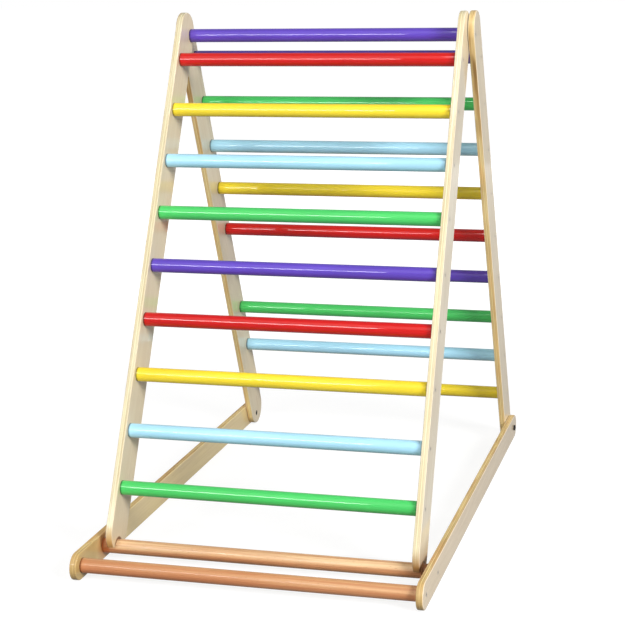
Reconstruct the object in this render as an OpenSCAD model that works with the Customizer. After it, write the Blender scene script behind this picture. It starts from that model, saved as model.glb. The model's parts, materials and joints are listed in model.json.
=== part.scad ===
// Folding climbing triangle for small children: two plywood ladders that share
// a pivot at the top, and a low base frame whose dowel carries the front ladder's hooks.
// Millimetres, +Z up, the floor is z = 0 and the front ladder faces -Y.
// The origin is on the floor, under the middle of the whole footprint.

/* [Rungs] */
// Diameter of the rungs and of the base dowels
rung_d = 25; // [20:0.5:32]
// Distance from one rung to the next, along the rail
rung_pitch = 100; // [90:1:112]
// Rungs of each ladder, without the top rung
ladder_rungs = 9; // [5:1:11]
// How far a rung's middle lies from the outer edge of its rail
rung_inset = 20; // [18:0.5:26]
// Depth of the blind socket that holds each rung end
socket_depth = 3; // [2:0.5:6]

/* [Rails] */
// Thickness of the plywood
ply_t = 12; // [10:0.5:18]
// Width of the ladder rails
rail_w = 70; // [66:1:90]
// Clear width between the two front rails
inner_w = 520; // [400:5:700]
// Gap between one layer of rails and the next
rail_gap = 0.8; // [0.6:0.1:2]
// Radius that eases the long edges of the plywood
edge_r = 1.5; // [0.5:0.1:3]

/* [Top pivot] */
// How far the pivot lies from the inner edge of the rails
pivot_inset = 16; // [15:0.5:20]
// Drop from the pivot to the first rung, along the rail
pivot_drop = 64; // [56:1:90]

/* [Hook] */
// Drop from the last front rung to the hook's dowel, along the rail
hook_drop = 98; // [80:1:120]
// How far the hook's dowel lies behind the middle of the front rail
hook_offset = 4; // [0:0.5:8]
// How far the centre of the rail's round end lies above the hook's dowel
hook_tip = 26; // [22:0.5:30]
// Angle by which each side of the hook's mouth opens
mouth_angle = 40; // [20:1:50]
// Height above the dowel's middle at which the mouth starts to open
mouth_rise = 3; // [2:0.5:5]

/* [Base hinge] */
// Drop from the last rear rung to the base hinge, along the rail
hinge_drop = 74; // [60:1:100]
// How far the base hinge lies ahead of the middle of the rear rail
hinge_offset = 9; // [0:0.5:14]
// Clearance of the rear rails' round ends above the floor
foot_clear = 1; // [0.5:0.5:4]

/* [Base frame] */
// Height of the base rails
base_h = 46; // [42:1:70]
// Distance from the base hinge to the hook's dowel
base_reach = 850; // [700:5:1000]
// Distance from the hook's dowel to the front dowel
dowel_gap = 97; // [85:1:140]
// Length of the base rails ahead of the front dowel
front_overhang = 28; // [24:1:60]
// Length of the base rails behind the hinge
rear_overhang = 36; // [26:1:60]

/* [Rung screws] */
// Diameter of a rung screw's shank
screw_d = 4; // [3:0.5:5]
// Length of a rung screw
screw_len = 40; // [30:1:60]
// Diameter of a rung screw's countersunk head
screw_head_d = 8; // [7:0.5:10]
// Height of a rung screw's countersunk head
screw_head_h = 2.4; // [2:0.1:3]

/* [Pivot and hinge bolts] */
// Diameter of the bolts at the pivot and at the hinge
bolt_d = 6; // [5:0.5:6.5]
// Diameter of a pivot bolt's flush head
pivot_head_d = 10; // [9:0.5:14]
// Height of a pivot bolt's flush head
pivot_head_h = 2.5; // [2:0.1:4]
// Length of the threaded insert in each end of the top rung
insert_len = 16; // [12:1:30]
// Outer diameter of the threaded insert
insert_d = 10; // [9:0.5:12]
// Diameter of a hinge bolt's proud head
hinge_head_d = 11; // [9:0.5:14]
// Height of a hinge bolt's proud head
hinge_head_h = 3; // [2:0.1:5]
// Diameter of the hinge nut's flange
nut_flange_d = 11; // [10:0.5:14]
// Thickness of the hinge nut's flange
nut_flange_h = 1.5; // [1:0.1:2.5]
// Outer diameter of the hinge nut's barrel
nut_barrel_d = 8.5; // [8:0.1:9.5]
// Outer diameter of the washers between the rails
washer_d = 18; // [15:0.5:24]

/* [Fits] */
// Radial clearance of a rung end in its socket
socket_gap = 0.1; // [0.05:0.01:0.2]
// Radial clearance of a bolt in a bore, and of a screw in its hole
running_gap = 0.05; // [0.02:0.01:0.1]
// Radial clearance of the hook round its dowel
hook_gap = 0.8; // [0.3:0.05:1]
// Part of the gap between the rails that a washer leaves free
washer_play = 0.1; // [0.05:0.01:0.2]

/* [Hidden] */
$fn = 96;
overcut = 1;
edge_steps = 3;
key_flats = 6;
key_share = 0.4;
key_depth_share = 2 / 3;

purple = "#5b3fa8";
red = "#d21c1c";
yellow = "#f8e040";
sky = "#a8e4f8";
green = "#4cc868";
beech = "#d89868";
birch = "#dccfb0";
zinc = "#9a9a9e";
black_steel = "#2a2a2c";
nylon = "#e8e6de";
front_paints = [red, yellow, sky, green, purple];
rear_paints = [purple, green, sky, yellow, red];

// Places across a ladder rail, outwards from the pivot
mid_u = rail_w / 2 - pivot_inset;
rung_u = rail_w - pivot_inset - rung_inset;
hook_u = mid_u - hook_offset;
hinge_u = mid_u - hinge_offset;

// Places along a ladder rail, downwards from the pivot
last_rung_v = pivot_drop + (ladder_rungs - 1) * rung_pitch;
hook_v = last_rung_v + hook_drop;
hinge_v = last_rung_v + hinge_drop;

// The triangle of pivot, hook dowel and base hinge
front_leg = norm([hook_u, hook_v]);
rear_leg = norm([hinge_u, hinge_v]);
hook_corner = acos((front_leg^2 + base_reach^2 - rear_leg^2) / (2 * front_leg * base_reach));
hinge_corner = acos((rear_leg^2 + base_reach^2 - front_leg^2) / (2 * rear_leg * base_reach));
front_lean = 90 - hook_corner - atan(hook_u / hook_v);
rear_lean = 90 - hinge_corner - atan(hinge_u / hinge_v);

// Heights and places from front to back, first counted from the hook's dowel
base_z = base_h / 2;
pivot_z = base_z + front_leg * sin(hook_corner);
pivot_reach = front_leg * cos(hook_corner);
rear_end_z = rail_w / 2 + foot_clear;
rear_span = (pivot_z + mid_u * sin(rear_lean) - rear_end_z) / cos(rear_lean);
rear_end_reach = pivot_reach + mid_u * cos(rear_lean) + rear_span * sin(rear_lean);
front_reach = dowel_gap + front_overhang;
back_reach = max(base_reach + rear_overhang, rear_end_reach + rail_w / 2);
hook_y = (front_reach - back_reach) / 2;
front_dowel_y = hook_y - dowel_gap;
hinge_y = hook_y + base_reach;
pivot_y = hook_y + pivot_reach;
front_span = hook_v - hook_tip;

// Inner faces of the three layers of rails, from the middle outwards
front_x = inner_w / 2;
rear_x = front_x + ply_t + rail_gap;
base_x = rear_x + ply_t + rail_gap;

hook_r = rung_d / 2 + hook_gap;
washer_t = rail_gap - washer_play;
nut_len = ply_t - nut_flange_h;

// Distance of rung i below the pivot, along the rail
function rung_v(i) = pivot_drop + (i - 1) * rung_pitch;

// A quarter circle of radius edge_r about [x, y], from angle a
function eased_corner(x, y, a) =
    [for (k = [0:edge_steps]) [x, y] + edge_r * [cos(a + 90 * k / edge_steps), sin(a + 90 * k / edge_steps)]];

// Ladder frames: x stays, y points out of the triangle, z runs up the rail from the pivot
module in_front_ladder() {
    translate([0, pivot_y, pivot_z]) mirror([0, 1, 0]) rotate([front_lean, 0, 0]) children();
}

module in_rear_ladder() {
    translate([0, pivot_y, pivot_z]) rotate([rear_lean, 0, 0]) children();
}

module left_side() {
    mirror([1, 0, 0]) children();
}

module both_sides() {
    children();
    left_side() children();
}

// A round bar along X, from x = 0
module bar(d, h, flats = $fn) {
    rotate([0, 90, 0]) cylinder(d = d, h = h, $fn = flats);
}

// A plywood board with round ends and eased edges. Its inner face is x = 0,
// and its end centres are z = 0 and z = -span.
module board(span, width) {
    side = width / 2 - edge_r;
    far = ply_t - edge_r;
    translate([0, 0, -span]) linear_extrude(span)
        polygon(concat(
            eased_corner(far, side, 0),
            eased_corner(edge_r, side, 90),
            eased_corner(edge_r, -side, 180),
            eased_corner(far, -side, 270)));
    round_end(side, far);
    translate([0, 0, -span]) rotate([180, 0, 0]) round_end(side, far);
}

module round_end(side, far) {
    rotate([0, 90, 0]) rotate([0, 0, 90]) rotate_extrude(angle = 180)
        polygon(concat(
            [[0, 0]],
            eased_corner(side, edge_r, 270),
            eased_corner(side, far, 0),
            [[0, ply_t]]));
}

// The room for a rung end, a screw or a bolt in a board
module socket() {
    translate([-overcut, 0, 0]) bar(rung_d + 2 * socket_gap, socket_depth + overcut);
}

module bolt_bore(d = bolt_d) {
    translate([-overcut, 0, 0]) bar(d + 2 * running_gap, ply_t + 2 * overcut);
}

// The recess for a hexagon key, in a head whose outer face is x = 0
module key_recess(head_d, head_h) {
    translate([-head_h * key_depth_share, 0, 0]) bar(head_d * key_share, head_h, key_flats);
}

// A countersunk screw that enters at x = 0 and points to -X
module screw_form(gap) {
    rotate([0, -90, 0]) cylinder(h = screw_head_h, r1 = screw_head_d / 2 + gap, r2 = screw_d / 2 + gap);
    rotate([0, -90, 0]) cylinder(h = screw_len + gap, d = screw_d + 2 * gap);
}

module screw_room() {
    screw_form(running_gap);
    bar(screw_head_d + 2 * running_gap, overcut);
}

module wood_screw() {
    difference() {
        screw_form(0);
        key_recess(screw_head_d, screw_head_h);
    }
}

// A rung or dowel that spans between rails whose inner faces are at x = +-rail_x
module round_rung(rail_x) {
    half = rail_x + socket_depth;
    difference() {
        translate([-half, 0, 0]) bar(rung_d, 2 * half);
        both_sides() translate([rail_x + ply_t, 0, 0]) screw_room();
    }
}

// The hook's notch, open downwards along the rail
module hook_notch() {
    throat = sqrt(hook_r^2 - mouth_rise^2);
    depth = mouth_rise + rail_w / 2;
    spread = depth * tan(mouth_angle);
    translate([-overcut, 0, 0]) bar(2 * hook_r, ply_t + 2 * overcut);
    translate([-overcut, 0, 0]) rotate([90, 0, 90]) linear_extrude(ply_t + 2 * overcut)
        polygon([
            [-throat, mouth_rise],
            [throat, mouth_rise],
            [throat + spread, mouth_rise - depth],
            [-throat - spread, mouth_rise - depth]]);
}

// Rails, right-hand ones
module front_rail() {
    color(birch) in_front_ladder() translate([front_x, 0, 0]) difference() {
        translate([0, mid_u, 0]) board(front_span, rail_w);
        socket();
        bolt_bore();
        for (i = [1:ladder_rungs]) translate([0, rung_u, -rung_v(i)]) {
            socket();
            translate([ply_t, 0, 0]) screw_room();
        }
        translate([0, hook_u, -hook_v]) hook_notch();
    }
}

module rear_rail() {
    color(birch) in_rear_ladder() translate([rear_x, 0, 0]) difference() {
        translate([0, mid_u, 0]) board(rear_span, rail_w);
        bolt_bore();
        translate([ply_t - pivot_head_h, 0, 0]) bar(pivot_head_d + 2 * running_gap, pivot_head_h + overcut);
        for (i = [1:ladder_rungs]) translate([0, rung_u, -rung_v(i)]) {
            socket();
            translate([ply_t, 0, 0]) screw_room();
        }
        translate([0, hinge_u, -hinge_v]) {
            bolt_bore(nut_barrel_d);
            translate([-overcut, 0, 0]) bar(nut_flange_d + 2 * running_gap, nut_flange_h + overcut);
        }
    }
}

module base_rail() {
    span = front_overhang + dowel_gap + base_reach + rear_overhang - base_h;
    color(birch) translate([base_x, 0, base_z]) difference() {
        translate([0, hinge_y + rear_overhang - base_h / 2, 0]) rotate([-90, 0, 0]) board(span, base_h);
        for (y = [front_dowel_y, hook_y]) translate([0, y, 0]) {
            socket();
            translate([ply_t, 0, 0]) screw_room();
        }
        translate([0, hinge_y, 0]) bolt_bore();
    }
}

// Rungs and dowels
module top_rung() {
    half = front_x + socket_depth;
    color(purple) in_front_ladder() difference() {
        translate([-half, 0, 0]) bar(rung_d, 2 * half);
        both_sides() translate([half - insert_len, 0, 0])
            bar(insert_d + 2 * running_gap, insert_len + overcut);
    }
}

module front_rung(i) {
    color(front_paints[(i - 1) % len(front_paints)])
        in_front_ladder() translate([0, rung_u, -rung_v(i)]) round_rung(front_x);
}

module rear_rung(i) {
    color(rear_paints[(i - 1) % len(rear_paints)])
        in_rear_ladder() translate([0, rung_u, -rung_v(i)]) round_rung(rear_x);
}

module hook_dowel() {
    color(beech) translate([0, hook_y, base_z]) round_rung(base_x);
}

module front_dowel() {
    color(beech) translate([0, front_dowel_y, base_z]) round_rung(base_x);
}

// Screws that hold the rungs and dowels
module front_rung_screws() {
    color(zinc) both_sides() in_front_ladder()
        for (i = [1:ladder_rungs]) translate([front_x + ply_t, rung_u, -rung_v(i)]) wood_screw();
}

module rear_rung_screws() {
    color(zinc) both_sides() in_rear_ladder()
        for (i = [1:ladder_rungs]) translate([rear_x + ply_t, rung_u, -rung_v(i)]) wood_screw();
}

module base_dowel_screws() {
    color(zinc) both_sides()
        for (y = [front_dowel_y, hook_y]) translate([base_x + ply_t, y, base_z]) wood_screw();
}

// Top pivot: a bolt through each rear rail and front rail into the top rung
module pivot_bolts() {
    tip_x = front_x + socket_depth - insert_len;
    head_x = rear_x + ply_t - pivot_head_h;
    color(zinc) both_sides() in_front_ladder() difference() {
        union() {
            translate([tip_x, 0, 0]) bar(bolt_d, head_x - tip_x);
            translate([head_x, 0, 0]) bar(pivot_head_d, pivot_head_h);
        }
        translate([head_x + pivot_head_h, 0, 0]) key_recess(pivot_head_d, pivot_head_h);
    }
}

module pivot_inserts() {
    color(zinc) both_sides() in_front_ladder()
        translate([front_x + socket_depth - insert_len, 0, 0]) difference() {
            bar(insert_d, insert_len);
            translate([-overcut, 0, 0]) bar(bolt_d + 2 * running_gap, insert_len + 2 * overcut);
        }
}

module washer() {
    difference() {
        bar(washer_d, washer_t);
        translate([-overcut, 0, 0]) bar(bolt_d + 2 * running_gap, washer_t + 2 * overcut);
    }
}

module pivot_washers() {
    color(nylon) both_sides() in_front_ladder() translate([front_x + ply_t, 0, 0]) washer();
}

// Base hinge: a bolt through each base rail into a flush nut in the rear rail
module hinge_bolts() {
    tip_x = rear_x + nut_flange_h;
    head_x = base_x + ply_t + washer_play;
    color(black_steel) both_sides() translate([0, hinge_y, base_z]) difference() {
        union() {
            translate([tip_x, 0, 0]) bar(bolt_d, head_x - tip_x);
            translate([head_x, 0, 0]) bar(hinge_head_d, hinge_head_h);
        }
        translate([head_x + hinge_head_h, 0, 0]) key_recess(hinge_head_d, hinge_head_h);
    }
}

module hinge_nuts() {
    color(black_steel) both_sides() in_rear_ladder() translate([rear_x, hinge_u, -hinge_v]) difference() {
        union() {
            bar(nut_flange_d, nut_flange_h);
            bar(nut_barrel_d, nut_flange_h + nut_len);
        }
        translate([nut_flange_h, 0, 0]) bar(bolt_d + 2 * running_gap, nut_len + overcut);
        translate([-overcut, 0, 0]) bar(nut_flange_d * key_share, nut_flange_h + 2 * overcut, key_flats);
    }
}

module hinge_washers() {
    color(nylon) both_sides() in_rear_ladder() translate([rear_x + ply_t, hinge_u, -hinge_v]) washer();
}

left_side() front_rail();  // front_rail_left
front_rail();  // front_rail_right
left_side() rear_rail();  // rear_rail_left
rear_rail();  // rear_rail_right
left_side() base_rail();  // base_rail_left
base_rail();  // base_rail_right
hook_dowel();
front_dowel();
top_rung();
for (i = [1:ladder_rungs]) {
    front_rung(i);
    rear_rung(i);
}
front_rung_screws();
rear_rung_screws();
base_dowel_screws();
pivot_bolts();
pivot_inserts();
pivot_washers();
hinge_bolts();
hinge_nuts();
hinge_washers();
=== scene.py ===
"""Looks of the folding climbing triangle: birch plywood rails, glossy painted rungs,
lacquered base dowels and metal fasteners, on a white floor in soft studio light."""

import json
import math

import bpy
from mathutils import Matrix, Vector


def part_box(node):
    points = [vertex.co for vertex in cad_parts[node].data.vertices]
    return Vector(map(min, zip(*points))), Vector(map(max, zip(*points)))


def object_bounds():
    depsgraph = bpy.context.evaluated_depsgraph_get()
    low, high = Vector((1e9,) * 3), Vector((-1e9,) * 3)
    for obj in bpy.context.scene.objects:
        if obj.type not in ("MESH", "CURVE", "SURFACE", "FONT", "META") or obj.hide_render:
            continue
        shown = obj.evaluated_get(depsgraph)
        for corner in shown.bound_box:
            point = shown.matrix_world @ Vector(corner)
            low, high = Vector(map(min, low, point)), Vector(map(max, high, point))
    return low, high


# The camera, from a fit to the photograph, in metres, degrees and millimetres
CAMERA_PLACE = (0.7858, -2.9020, 1.0190)
CAMERA_AZIMUTH = 15.28
CAMERA_DOWN = 9.32
CAMERA_ROLL = -1.00
CAMERA_LENS = 94.65
CAMERA_SENSOR = 36.0
CAMERA_SHIFT_Y = -0.14

# Plies of the 12 mm board, and the width of the dark band of painted contact shade round a rung
# end, in metres
PLIES = 9
SOCKET_SHADE_WIDTH = 0.0036

# Share of the faces' lacquer that the cut edges and the painted shadow at the hooks keep
EDGE_LACQUER = 0.25

# Where tints fade, in metres: heights above the hook dowel's axis, distances from its surface,
# and distances from the front end of the base rails
FOOT_SHADE_FADE = (0.014, 0.046)
GAP_FADE = (0.011, 0.018)
NOTCH_FADE = (0.0034, 0.0052)
HALO_FADE = 0.022
FRONT_END_FADE = (0.008, 0.030)

# Where the painted shade on the base rails' inner faces gives way to a paler colour, along y, and
# the heights at which the painted shade on the rear rails' front edges turns them browner and back,
# in metres
INNER_FACE_SHADE_FADE = (-0.43, -0.35)
NEAR_TOP_SHADE_RISE = (0.62, 0.78)
NEAR_TOP_SHADE_FALL = (0.83, 0.90)

# Share of the white background that mirror rays see
MIRRORED_WHITE = 0.3

# The world's light on the object
WORLD_COLOUR = (1.0, 0.985, 0.96, 1.0)
WORLD_STRENGTH = 0.09

# The floor's grey for light on the object, its grey under the shadow that is seen, and the glow
# that it adds where it is seen: distances from the middle in metres, and strengths there
FLOOR_GREY = 0.11
FLOOR_SEEN_GREY = 0.21
FLOOR_GLOW_FADE = (0.8, 2.2, 0.85, 1.0)
FLOOR_SIZE = 60.0

# Lamps: name, azimuth and elevation in degrees, distance and size in metres, watts, and whether
# mirror rays see it
LAMPS = (
    ("key_right", 55.0, 22.6, 5.5, (2.14, 1.68), 312.0, True),
    ("strip_front_left", -18.5, 18.8, 3.2, (0.95, 0.32), 21.0, True),
    ("panel_front_left", -22.0, 46.0, 5.0, (2.3, 3.7), 22.0, True),
    ("strip_overhead", 6.0, 53.0, 2.95, (0.9, 0.35), 12.0, True),
    ("strip_back", 165.0, 36.0, 4.0, (1.2, 0.3), 9.0, True),
    ("low_fill", -5.0, 1.0, 5.0, (3.0, 0.9), 46.0, False),
    ("right_fill", 90.0, 5.0, 5.0, (2.5, 2.5), 18.0, False),
    ("back_fill", 170.0, 8.0, 5.0, (4.0, 3.0), 150.0, False),
    ("left_fill", -95.0, 5.0, 5.0, (2.5, 2.5), 170.0, False),
)

# Colours from here on are sRGB values from 0 to 255
PAINTS = {
    "paint_purple": (98, 70, 192),
    "paint_red": (210, 14, 10),
    "paint_yellow": (255, 226, 50),
    "paint_sky": (177, 230, 255),
    "paint_green": (76, 210, 104),
}

# Plywood by row of rails: the inner face at the front end and behind it, darker than the outer face
# as painted shade, the outer face, the pale and the dark zones of the cut edges, the glue lines,
# and how strong these are
BOARDS = {
    "front": {
        "shaded_inner_face": ((219, 205, 175), (219, 205, 175)),
        "outer_face": (255, 244, 219),
        "edge": (240, 235, 200),
        "edge_dark": (237, 225, 180),
        "glue": (168, 130, 80),
        "glue_strength": 0.9,
    },
    "rear": {
        "shaded_inner_face": ((222, 211, 184), (222, 211, 184)),
        "outer_face": (254, 238, 206),
        "edge": (255, 237, 174),
        "edge_dark": (252, 212, 140),
        "glue": (186, 122, 58),
        "glue_strength": 0.8,
    },
    "base": {
        "shaded_inner_face": ((197, 167, 98), (242, 219, 157)),
        "outer_face": (255, 234, 200),
        "edge": (250, 224, 152),
        "edge_dark": (214, 168, 98),
        "glue": (128, 84, 40),
        "glue_strength": 1.0,
    },
}
VENEER_FIGURE = (176, 146, 104)
VENEER_PATCHES = (226, 204, 166)
VENEER_FIBRES = (190, 163, 122)
VENEER_PORES = (150, 120, 84)
FRONT_END_BROWN = (186, 148, 92)
NEAR_TOP_SHADE = (158, 118, 64)
HALO_STAIN_AND_SHADE = (172, 98, 34)
LEFT_FOOT_SHADE = (206, 156, 88)
RIGHT_FOOT_SHADE = (166, 115, 52)
PAINTED_HOOK_SHADOW = (112, 62, 4)

# Base dowels: the upper and the lower side of each, painted light for how the light falls on them,
# then what both have
DOWELS = {
    "hook_dowel": ((232, 198, 152), (234, 166, 112)),
    "front_dowel": ((206, 153, 106), (209, 138, 93)),
}
DOWEL_DARK_STREAKS = (186, 116, 74)
DOWEL_PALE_STREAKS = (246, 206, 156)
DOWEL_FIBRES = (172, 104, 64)
DOWEL_FLECKS = (146, 86, 52)
DOWEL_SOCKET_SHADE = (110, 46, 16)
HOOK_DOWEL_RIGHT_END_SHADE = (128, 70, 6)
HOOK_DOWEL_LEFT_END_SHADE = (220, 116, 54)

PLATED_STEEL = (198, 190, 178)
BLACKENED_STEEL = (40, 40, 44)
NYLON = (228, 226, 214)

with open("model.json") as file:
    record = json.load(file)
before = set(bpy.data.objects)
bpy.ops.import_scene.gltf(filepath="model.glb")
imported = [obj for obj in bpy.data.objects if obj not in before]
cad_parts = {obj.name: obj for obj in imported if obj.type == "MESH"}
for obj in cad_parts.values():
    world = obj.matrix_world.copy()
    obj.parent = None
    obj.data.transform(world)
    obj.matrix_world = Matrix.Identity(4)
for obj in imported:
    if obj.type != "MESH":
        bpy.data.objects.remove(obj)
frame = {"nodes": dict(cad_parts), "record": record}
cad_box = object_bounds()


def linear(colour):
    """An sRGB colour from 0 to 255 as the linear colour that a shader takes."""
    shares = [c / 255 for c in colour]
    return [s / 12.92 if s <= 0.04045 else ((s + 0.055) / 1.055) ** 2.4 for s in shares] + [1.0]


def darker(colour, share):
    return linear([c * share for c in colour])


def centre(node):
    low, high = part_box(node)
    return (low + high) / 2


class Shader:
    """A new material's node tree, with short calls that add its nodes and join them."""

    def __init__(self, name):
        self.material = bpy.data.materials.new(name)
        self.material.use_nodes = True
        self.nodes = self.material.node_tree.nodes
        self.links = self.material.node_tree.links
        self.nodes.clear()
        self.surface = self.nodes.new("ShaderNodeBsdfPrincipled")
        output = self.nodes.new("ShaderNodeOutputMaterial")
        self.links.new(self.surface.outputs[0], output.inputs["Surface"])

    def put(self, socket, value):
        """Sets a socket, or joins it when the value is another node's output."""
        if isinstance(value, bpy.types.NodeSocket):
            self.links.new(value, socket)
        else:
            socket.default_value = value

    def add(self, kind, *values, **settings):
        """Adds a node. The values go to its inputs in turn, and None leaves one as it is."""
        node = self.nodes.new("ShaderNode" + kind)
        for key, value in settings.items():
            setattr(node, key, value)
        for socket, value in zip(node.inputs, values):
            if value is not None:
                self.put(socket, value)
        return node

    def math(self, operation, *values):
        return self.add("Math", *values, operation=operation).outputs[0]

    def ramp(self, value, low, high, to_low=0.0, to_high=1.0):
        """The value's range from low to high, clamped and mapped to a new range."""
        return self.add("MapRange", value, low, high, to_low, to_high).outputs[0]

    def mix(self, factor, first, second):
        node = self.nodes.new("ShaderNodeMix")
        node.data_type = "RGBA"
        self.put(node.inputs[0], factor)
        self.put(node.inputs[6], first)
        self.put(node.inputs[7], second)
        return node.outputs[2]

    def place(self, turn=0.0):
        """Object coordinates in metres, turned about X so that Z runs along the rail."""
        coordinates = self.add("TexCoord").outputs["Object"]
        return self.add("Mapping", coordinates, None, (turn, 0.0, 0.0)).outputs[0]

    def noise(self, place, scale, detail, roughness=0.5, distortion=0.0):
        """Noise from 0 to 1. The scale is in features per metre along x, y and z."""
        node = self.nodes.new("ShaderNodeTexNoise")
        stretched = self.add("VectorMath", place, scale, operation="MULTIPLY").outputs[0]
        self.put(node.inputs["Vector"], stretched)
        node.inputs["Scale"].default_value = 1.0
        node.inputs["Detail"].default_value = detail
        node.inputs["Roughness"].default_value = roughness
        node.inputs["Distortion"].default_value = distortion
        return node.outputs[0]

    def bump(self, height, distance, strength):
        node = self.add("Bump", strength, distance)
        self.put(node.inputs["Height"], height)
        self.put(self.surface.inputs["Normal"], node.outputs[0])

    def finish(self, **values):
        """Sets the surface shader's own sockets, named with _ for each space."""
        for key, value in values.items():
            self.put(self.surface.inputs[key.replace("_", " ")], value)
        return self.material


def plywood(row, turn):
    """Lacquered birch plywood: veneer with long grain on its faces, plies on its edges.

    The turn brings the length of the row's rails to Z.
    """
    board = BOARDS[row]
    edge, edge_dark = board["edge"], board["edge_dark"]
    s = Shader("plywood_" + row)
    place = s.place(turn)
    x, y, z = s.add("SeparateXYZ", s.add("TexCoord").outputs["Object"]).outputs
    low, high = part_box(row + "_rail_right")
    thickness = high.x - low.x

    # Depth in the board, counted in plies from its inner face, with a slow wave
    depth = s.math("SUBTRACT", s.math("ABSOLUTE", x), low.x)
    ply = s.math("MULTIPLY", depth, PLIES / thickness)
    wave = s.noise(place, (40, 12, 12), detail=2.0)
    ply = s.math("ADD", ply, s.ramp(wave, 0.3, 0.7, -0.15, 0.15))
    ply = s.add("Clamp", ply, 0.02, PLIES - 0.02).outputs[0]
    cross = s.math("GREATER_THAN", s.math("PINGPONG", s.math("SUBTRACT", ply, 0.5), 1.0), 0.5)
    to_glue = s.math("PINGPONG", ply, 0.5)
    to_middle = s.math("ABSOLUTE", s.math("SUBTRACT", ply, PLIES / 2))
    inside = s.math("LESS_THAN", to_middle, PLIES / 2 - 0.5)
    core = s.math("LESS_THAN", to_middle, PLIES / 2 - 0.9)
    outer_side = s.math("GREATER_THAN", ply, PLIES / 2)

    # Each glue line is as strong as its own number makes it, and fades along the board
    line = s.math("ROUND", ply)
    own = s.add("TexWhiteNoise", None, line, noise_dimensions="1D").outputs[0]
    fade = s.noise(place, (160, 7, 7), detail=1.0)
    own = s.ramp(own, 0.3, 0.75, 0.1, 1.0)
    strength = s.math("MULTIPLY", own, s.ramp(fade, 0.35, 0.6, 0.35, 1.0))
    glue = s.math("MULTIPLY", s.ramp(to_glue, 0.12, 0.40, 1.0, 0.0), inside)
    glue = s.math("MULTIPLY", glue, strength)

    # Face veneer: slow figure, fine fibres and short dark pores along the rail
    figure_field = s.noise(place, (9, 16, 1.6), detail=2.0, distortion=0.6)
    figure = s.math("SINE", s.math("MULTIPLY", figure_field, 46.0))
    fibres = s.noise(place, (300, 420, 9), detail=4.0, roughness=0.6)
    pores = s.noise(place, (500, 900, 45), detail=1.0)
    patches = s.noise(place, (7, 14, 5), detail=2.0)
    # Inner faces: painted shade, darker than the outer faces, and darker still towards the front of
    # the base rails
    inner = s.mix(s.ramp(y, *INNER_FACE_SHADE_FADE), *[linear(colour) for colour in board["shaded_inner_face"]])
    face = s.mix(outer_side, inner, linear(board["outer_face"]))
    veneer = s.mix(s.ramp(figure, -1.0, 1.0, 0.0, 0.10), face, linear(VENEER_FIGURE))
    veneer = s.mix(s.ramp(patches, 0.35, 0.65, 0.0, 0.35), veneer, linear(VENEER_PATCHES))
    veneer = s.mix(s.ramp(fibres, 0.3, 0.75, 0.0, 0.26), veneer, linear(VENEER_FIBRES))
    veneer = s.mix(s.ramp(pores, 0.68, 0.8, 0.0, 0.4), veneer, linear(VENEER_PORES))

    # Edges: pale plies with long grain between browner ones with end grain, in wide soft zones
    edge_fibres = s.noise(place, (700, 500, 10), detail=3.0)
    end_grain = s.noise(place, (1400, 1600, 1600), detail=2.0)
    zones = s.noise(place, (190, 13, 13), detail=1.0)
    pale = s.mix(s.ramp(edge_fibres, 0.35, 0.75, 0.0, 0.5), linear(edge), darker(edge, 0.92))
    pale = s.mix(s.ramp(zones, 0.42, 0.62, 0.0, 0.75), pale, linear(edge_dark))
    brown = s.mix(s.ramp(end_grain, 0.35, 0.65, 0.3, 0.6), pale, darker(edge_dark, 0.92))
    plies = s.mix(cross, pale, brown)
    colour = s.mix(core, veneer, plies)
    glue_share = s.math("MULTIPLY", glue, board["glue_strength"])
    colour = s.mix(glue_share, colour, linear(board["glue"]))
    bare = core
    if row == "front":
        colour, shadow_share = hook_painted_shade(s, colour, (x, y, z), core, outer_side)
        bare = s.math("MAXIMUM", core, shadow_share)
    if row == "base":
        colour = hook_halo_stain_and_shade(s, colour, y, z, outer_side)
        # The base rails' edges turn browner towards their front ends
        start, end = [low.y + distance for distance in FRONT_END_FADE]
        front_end = s.math("MULTIPLY", s.ramp(y, start, end, 0.55, 0.0), core)
        colour = s.mix(front_end, colour, linear(FRONT_END_BROWN))
    if row == "rear":
        # Painted shade: the front edges are browner near the top, where the ladders meet, in the
        # same zones
        across = s.add("SeparateXYZ", place).outputs[1]
        rung = centre("rear_rung_1")
        middle = rung.y * math.cos(turn) - rung.z * math.sin(turn)
        rise, fall = s.ramp(z, *NEAR_TOP_SHADE_RISE, 0.0, 0.55), s.ramp(z, *NEAR_TOP_SHADE_FALL, 1.0, 0.6)
        near_top = s.math("MULTIPLY", rise, fall)
        near_top = s.math("MULTIPLY", near_top, s.math("LESS_THAN", across, middle))
        near_top = s.math("MULTIPLY", near_top, s.ramp(zones, 0.40, 0.60, 0.6, 1.6))
        colour = s.mix(s.math("MULTIPLY", near_top, core), colour, linear(NEAR_TOP_SHADE))

    height = s.math("SUBTRACT", s.math("MULTIPLY", fibres, 0.5), s.math("MULTIPLY", glue, 0.6))
    s.bump(height, 0.00015, 0.3)
    rough = s.ramp(fibres, 0.3, 0.7, 0.40, 0.52)
    lacquer = s.ramp(bare, 0.0, 1.0, 1.0, EDGE_LACQUER)
    return s.finish(
        Base_Color=colour, Roughness=rough, Coat_Weight=lacquer, Coat_Roughness=0.08
    )


def from_hook_dowel(s, y, z):
    """Distance from the hook dowel's axis, and the dowel's radius."""
    middle = centre("hook_dowel")
    across = s.add("CombineXYZ", 0.0, y, z).outputs[0]
    axis = (0.0, middle.y, middle.z)
    away = s.add("VectorMath", across, axis, operation="DISTANCE").outputs["Value"]
    return away, middle.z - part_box("hook_dowel")[0].z


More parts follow.
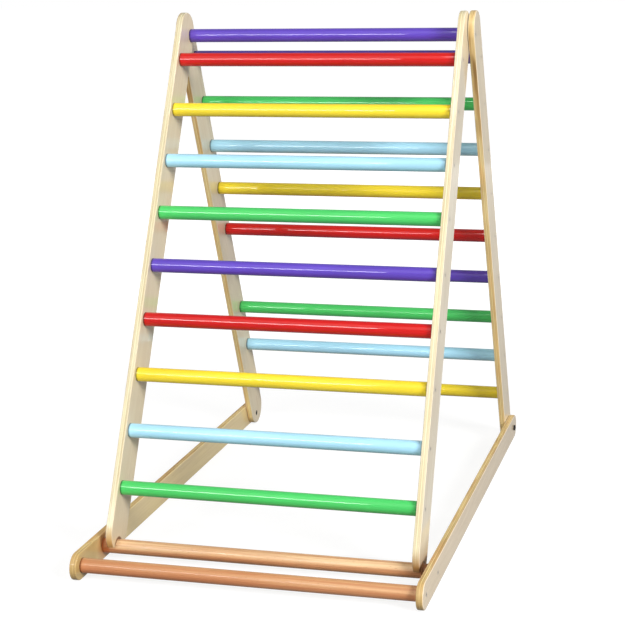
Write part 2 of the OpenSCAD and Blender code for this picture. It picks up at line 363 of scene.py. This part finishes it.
def hook_halo_stain_and_shade(s, colour, y, z, outer_side):
    """A warm darkening round the hook dowel on the inner faces of the base rails, partly stain and
    partly painted shade.
    """
    away, radius = from_hook_dowel(s, y, z)
    halo = s.ramp(away, radius, radius + HALO_FADE, 0.7, 0.0)
    halo = s.math("MULTIPLY", halo, s.ramp(outer_side, 0.0, 1.0, 1.0, 0.0))
    return s.mix(halo, colour, linear(HALO_STAIN_AND_SHADE))


def hook_painted_shade(s, colour, xyz, core, outer_side):
    """Painted shade and reflected light on the front rails' feet, painted shadow in and beside
    their notches.

    Gives the colour, and the share of painted shadow in it.
    """
    x, y, z = xyz
    away, radius = from_hook_dowel(s, y, z)
    axis_height = centre("hook_dowel").z

    def below(fade, share):
        return s.ramp(z, axis_height + fade[0], axis_height + fade[1], share, 0.0)

    # Painted shade, warmed as painted reflected light from the dowels: the right foot is browner
    # than the left, and the edges of both are browner than the faces
    right = s.ramp(x, -0.01, 0.01)
    brown = s.mix(right, linear(LEFT_FOOT_SHADE), linear(RIGHT_FOOT_SHADE))
    foot = below(FOOT_SHADE_FADE, 0.95)
    on_face = s.ramp(right, 0.0, 1.0, 0.2, 0.7)
    foot = s.math("MULTIPLY", foot, s.ramp(core, 0.0, 1.0, on_face, 1.0))
    colour = s.mix(foot, colour, brown)

    # Painted shadow of the base rails low on the outer faces, and painted contact shade all round
    # the dowel
    gap = s.math("MULTIPLY", below(GAP_FADE, 0.9), outer_side)
    gap = s.math("MULTIPLY", gap, s.ramp(core, 0.0, 1.0, 1.0, 0.0))
    start, end = [radius + distance for distance in NOTCH_FADE]
    notch = s.ramp(away, start, end, 0.95, 0.0)
    shadow_share = s.math("MAXIMUM", gap, notch)
    return s.mix(shadow_share, colour, linear(PAINTED_HOOK_SHADOW)), shadow_share


def socket_shade_band(s, rail_x):
    """A band from 0 to 1 of painted contact shade at the place where a rung goes into its rails."""
    x = s.math("ABSOLUTE", s.add("SeparateXYZ", s.add("TexCoord").outputs["Object"]).outputs[0])
    return s.ramp(x, rail_x - SOCKET_SHADE_WIDTH, rail_x - SOCKET_SHADE_WIDTH / 3)


def paint(name, colour, rail_x):
    """Gloss paint on a wooden rung: faint grain along X, a little orange peel."""
    s = Shader(name)
    place = s.place()
    grain = s.noise(place, (9, 520, 520), detail=3.0)
    peel = s.noise(place, (180, 220, 220), detail=1.0)
    clouds = s.noise(place, (5, 30, 30), detail=2.0)
    shade = s.mix(s.ramp(clouds, 0.35, 0.65), linear(colour), darker(colour, 0.95))
    shade = s.mix(s.ramp(grain, 0.35, 0.7, 0.0, 0.10), shade, darker(colour, 0.8))
    # Painted contact shade: a dark band where the rung goes into its rail
    line = s.math("MULTIPLY", socket_shade_band(s, rail_x), 0.8)
    shade = s.mix(line, shade, darker(colour, 0.35))
    height = s.math("ADD", s.math("MULTIPLY", grain, 0.5), s.math("MULTIPLY", peel, 0.5))
    s.bump(height, 0.00001, 0.03)
    rough = s.ramp(peel, 0.3, 0.7, 0.42, 0.50)
    return s.finish(
        Base_Color=shade,
        Roughness=rough,
        Specular_IOR_Level=0.06,
        Coat_Weight=1.0,
        Coat_Roughness=0.03,
    )


def beech(dowel, rail_x):
    """Lacquered reddish dowel with long streaks and short dark flecks along X."""
    upper, lower = DOWELS[dowel]
    s = Shader("beech_" + dowel)
    place = s.place()
    x, _, height = s.add("SeparateXYZ", s.add("TexCoord").outputs["Object"]).outputs
    low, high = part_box("front_dowel")  # both dowels lie at one height
    streaks = s.noise(place, (2.6, 170, 170), detail=4.0, roughness=0.65, distortion=0.3)
    fibres = s.noise(place, (14, 900, 900), detail=2.0)
    flecks = s.noise(place, (150, 1100, 1100), detail=1.0)
    clouds = s.noise(place, (3, 16, 16), detail=2.0)
    # Painted light: from the lower side's colour to the upper side's with height
    rise = s.ramp(height, low.z, high.z, -0.25, 1.0)
    rise = s.math("ADD", rise, s.ramp(clouds, 0.3, 0.7, -0.25, 0.25))
    wood = s.mix(s.ramp(rise, 0.15, 0.7), linear(lower), linear(upper))
    colour = s.mix(s.ramp(streaks, 0.42, 0.66, 0.0, 0.7), wood, linear(DOWEL_DARK_STREAKS))
    colour = s.mix(s.ramp(streaks, 0.25, 0.42, 0.45, 0.0), colour, linear(DOWEL_PALE_STREAKS))
    colour = s.mix(s.ramp(fibres, 0.4, 0.75, 0.0, 0.25), colour, linear(DOWEL_FIBRES))
    colour = s.mix(s.ramp(flecks, 0.66, 0.78, 0.0, 0.45), colour, linear(DOWEL_FLECKS))
    # Painted contact shade: a dark band where the dowel goes into its rail
    line = s.math("MULTIPLY", socket_shade_band(s, rail_x), 0.85)
    colour = s.mix(line, colour, linear(DOWEL_SOCKET_SHADE))
    if dowel == "hook_dowel":
        # Painted shadow on its ends between the front rails and the base rails, deepest on the
        # right
        hook_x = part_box("front_rail_right")[1].x
        right_end = s.ramp(x, hook_x - 0.001, hook_x + 0.001, 0.0, 0.9)
        left_end = s.ramp(x, -hook_x - 0.001, -hook_x + 0.001, 0.6, 0.0)
        colour = s.mix(right_end, colour, linear(HOOK_DOWEL_RIGHT_END_SHADE))
        colour = s.mix(left_end, colour, linear(HOOK_DOWEL_LEFT_END_SHADE))
    s.bump(fibres, 0.0001, 0.25)
    rough = s.ramp(streaks, 0.3, 0.7, 0.40, 0.48)
    return s.finish(
        Base_Color=colour,
        Roughness=rough,
        Specular_IOR_Level=0.3,
        Coat_Weight=0.4,
        Coat_Roughness=0.08,
    )


def metal(name, colour, metallic, low_rough, high_rough):
    """Plated or blackened steel with a faint mottle."""
    s = Shader(name)
    place = s.place()
    mottle = s.noise(place, (900, 900, 900), detail=2.0)
    fine = s.noise(place, (4000, 4000, 4000), detail=1.0)
    shade = s.mix(s.ramp(mottle, 0.35, 0.65), linear(colour), darker(colour, 0.82))
    s.bump(fine, 0.00002, 0.3)
    rough = s.ramp(mottle, 0.3, 0.7, low_rough, high_rough)
    return s.finish(Base_Color=shade, Metallic=metallic, Roughness=rough)


def plastic(name, colour):
    s = Shader(name)
    haze = s.noise(s.place(), (700, 700, 700), detail=2.0)
    shade = s.mix(s.ramp(haze, 0.35, 0.65), linear(colour), darker(colour, 0.95))
    s.bump(haze, 0.00003, 0.3)
    return s.finish(Base_Color=shade, Roughness=0.45)


def lean_of(first, last):
    """Angle about X that turns the rail's direction, from its first to its last rung, to Z."""
    way = centre(last) - centre(first)
    return math.atan2(way.y, -way.z)


def dress(node, material):
    frame["nodes"][node].material_slots[0].material = material


def dress_all():
    slots = {part["node"]: part["material_slot"] for part in frame["record"]["subparts"]}
    inner_x = {row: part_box(row + "_rail_right")[0].x for row in ("front", "rear", "base")}
    metals = {
        "zinc_steel": metal("plated_steel", PLATED_STEEL, 0.6, 0.4, 0.55),
        "black_steel": metal("blackened_steel", BLACKENED_STEEL, 0.6, 0.34, 0.5),
        "nylon": plastic("natural_nylon", NYLON),
    }
    boards = {
        "front": plywood("front", -lean_of("front_rung_1", "front_rung_9")),
        "rear": plywood("rear", -lean_of("rear_rung_1", "rear_rung_9")),
        "base": plywood("base", math.pi / 2),
    }
    dowels = {dowel: beech(dowel, inner_x["base"]) for dowel in DOWELS}
    paints = {}
    for node, slot in slots.items():
        row = node.split("_")[0]
        if slot == "birch_plywood":
            dress(node, boards[row])
        elif slot == "beech":
            dress(node, dowels[node])
        elif slot in metals:
            dress(node, metals[slot])
        else:
            # The top rung lies between the front rails
            row = "rear" if row == "rear" else "front"
            name = "gloss_" + slot + "_" + row
            if name not in paints:
                paints[name] = paint(name, PAINTS[slot], inner_x[row])
            dress(node, paints[name])


def white_rays(nodes, links):
    """1 for rays that show the white background as it is, and a share of it for mirror rays."""
    rays = nodes.new("ShaderNodeLightPath")
    mirrored = nodes.new("ShaderNodeMath")
    mirrored.operation = "MULTIPLY"
    links.new(rays.outputs["Is Glossy Ray"], mirrored.inputs[0])
    mirrored.inputs[1].default_value = MIRRORED_WHITE
    total = mirrored.outputs[0]
    for kind in ("Is Camera Ray", "Is Transmission Ray"):
        either = nodes.new("ShaderNodeMath")
        either.operation = "MAXIMUM"
        links.new(rays.outputs[kind], either.inputs[0])
        links.new(total, either.inputs[1])
        total = either.outputs[0]
    return total


def make_floor():
    """A white floor that keeps the object's shadow and glows where it is seen, more so far away."""
    bpy.ops.mesh.primitive_plane_add(size=FLOOR_SIZE, location=(0.0, 0.0, 0.0))
    floor = bpy.context.object
    floor.name = "floor"
    material = bpy.data.materials.new("white_floor")
    material.use_nodes = True
    nodes, links = material.node_tree.nodes, material.node_tree.links
    nodes.clear()
    output = nodes.new("ShaderNodeOutputMaterial")
    place = nodes.new("ShaderNodeTexCoord")
    reach = nodes.new("ShaderNodeVectorMath")
    reach.operation = "LENGTH"
    links.new(place.outputs["Object"], reach.inputs[0])
    fading = nodes.new("ShaderNodeMapRange")
    fading.interpolation_type = "SMOOTHSTEP"
    links.new(reach.outputs["Value"], fading.inputs["Value"])
    for socket, value in zip(("From Min", "From Max", "To Min", "To Max"), FLOOR_GLOW_FADE):
        fading.inputs[socket].default_value = value
    lit = nodes.new("ShaderNodeBsdfDiffuse")
    lit.inputs["Color"].default_value = (FLOOR_GREY,) * 3 + (1.0,)
    shown_lit = nodes.new("ShaderNodeBsdfDiffuse")
    shown_lit.inputs["Color"].default_value = (FLOOR_SEEN_GREY,) * 3 + (1.0,)
    glow = nodes.new("ShaderNodeEmission")
    links.new(fading.outputs["Result"], glow.inputs["Strength"])
    both = nodes.new("ShaderNodeAddShader")
    links.new(shown_lit.outputs[0], both.inputs[0])
    links.new(glow.outputs[0], both.inputs[1])
    choice = nodes.new("ShaderNodeMixShader")
    links.new(white_rays(nodes, links), choice.inputs[0])
    links.new(lit.outputs[0], choice.inputs[1])
    links.new(both.outputs[0], choice.inputs[2])
    links.new(choice.outputs[0], output.inputs["Surface"])
    floor.data.materials.append(material)


def make_world():
    """A plain white surround, which lights the object less than it shows."""
    world = bpy.data.worlds.new("studio")
    bpy.context.scene.world = world
    world.use_nodes = True
    nodes, links = world.node_tree.nodes, world.node_tree.links
    nodes.clear()
    output = nodes.new("ShaderNodeOutputWorld")
    light = nodes.new("ShaderNodeBackground")
    light.inputs["Color"].default_value = WORLD_COLOUR
    light.inputs["Strength"].default_value = WORLD_STRENGTH
    shown = nodes.new("ShaderNodeBackground")
    shown.inputs["Color"].default_value = (1.0, 1.0, 1.0, 1.0)
    shown.inputs["Strength"].default_value = 1.0
    choice = nodes.new("ShaderNodeMixShader")
    links.new(white_rays(nodes, links), choice.inputs[0])
    links.new(light.outputs[0], choice.inputs[1])
    links.new(shown.outputs[0], choice.inputs[2])
    links.new(choice.outputs[0], output.inputs["Surface"])


def add_lamp(name, azimuth, elevation, distance, size, watts, mirrored):
    """A rectangular lamp that faces the middle of the object.

    Azimuth 0 is in front, and positive to the right.
    """
    low, high = cad_box
    target = (low + high) / 2
    around, up = math.radians(azimuth), math.radians(elevation)
    data = bpy.data.lights.new(name, "AREA")
    data.shape = "RECTANGLE"
    data.size, data.size_y = size
    data.energy = watts
    lamp = bpy.data.objects.new(name, data)
    lamp.visible_glossy = mirrored
    bpy.context.scene.collection.objects.link(lamp)
    turn = Matrix.Rotation(around, 4, "Z") @ Matrix.Rotation(math.pi / 2 - up, 4, "X")
    lamp.matrix_world = Matrix.Translation(target) @ turn @ Matrix.Translation((0.0, 0.0, distance))


def make_camera():
    data = bpy.data.cameras.new("camera")
    data.sensor_width = CAMERA_SENSOR
    data.lens = CAMERA_LENS
    data.shift_y = CAMERA_SHIFT_Y
    camera = bpy.data.objects.new("camera", data)
    bpy.context.scene.collection.objects.link(camera)
    around = Matrix.Rotation(math.radians(CAMERA_AZIMUTH), 4, "Z")
    tilt = Matrix.Rotation(math.radians(90.0 - CAMERA_DOWN), 4, "X")
    roll = Matrix.Rotation(math.radians(CAMERA_ROLL), 4, "Z")
    camera.matrix_world = Matrix.Translation(CAMERA_PLACE) @ around @ tilt @ roll
    bpy.context.scene.camera = camera


make_camera()
dress_all()
make_floor()
make_world()
for settings in LAMPS:
    add_lamp(*settings)
bpy.context.scene.view_settings.view_transform = "Standard"
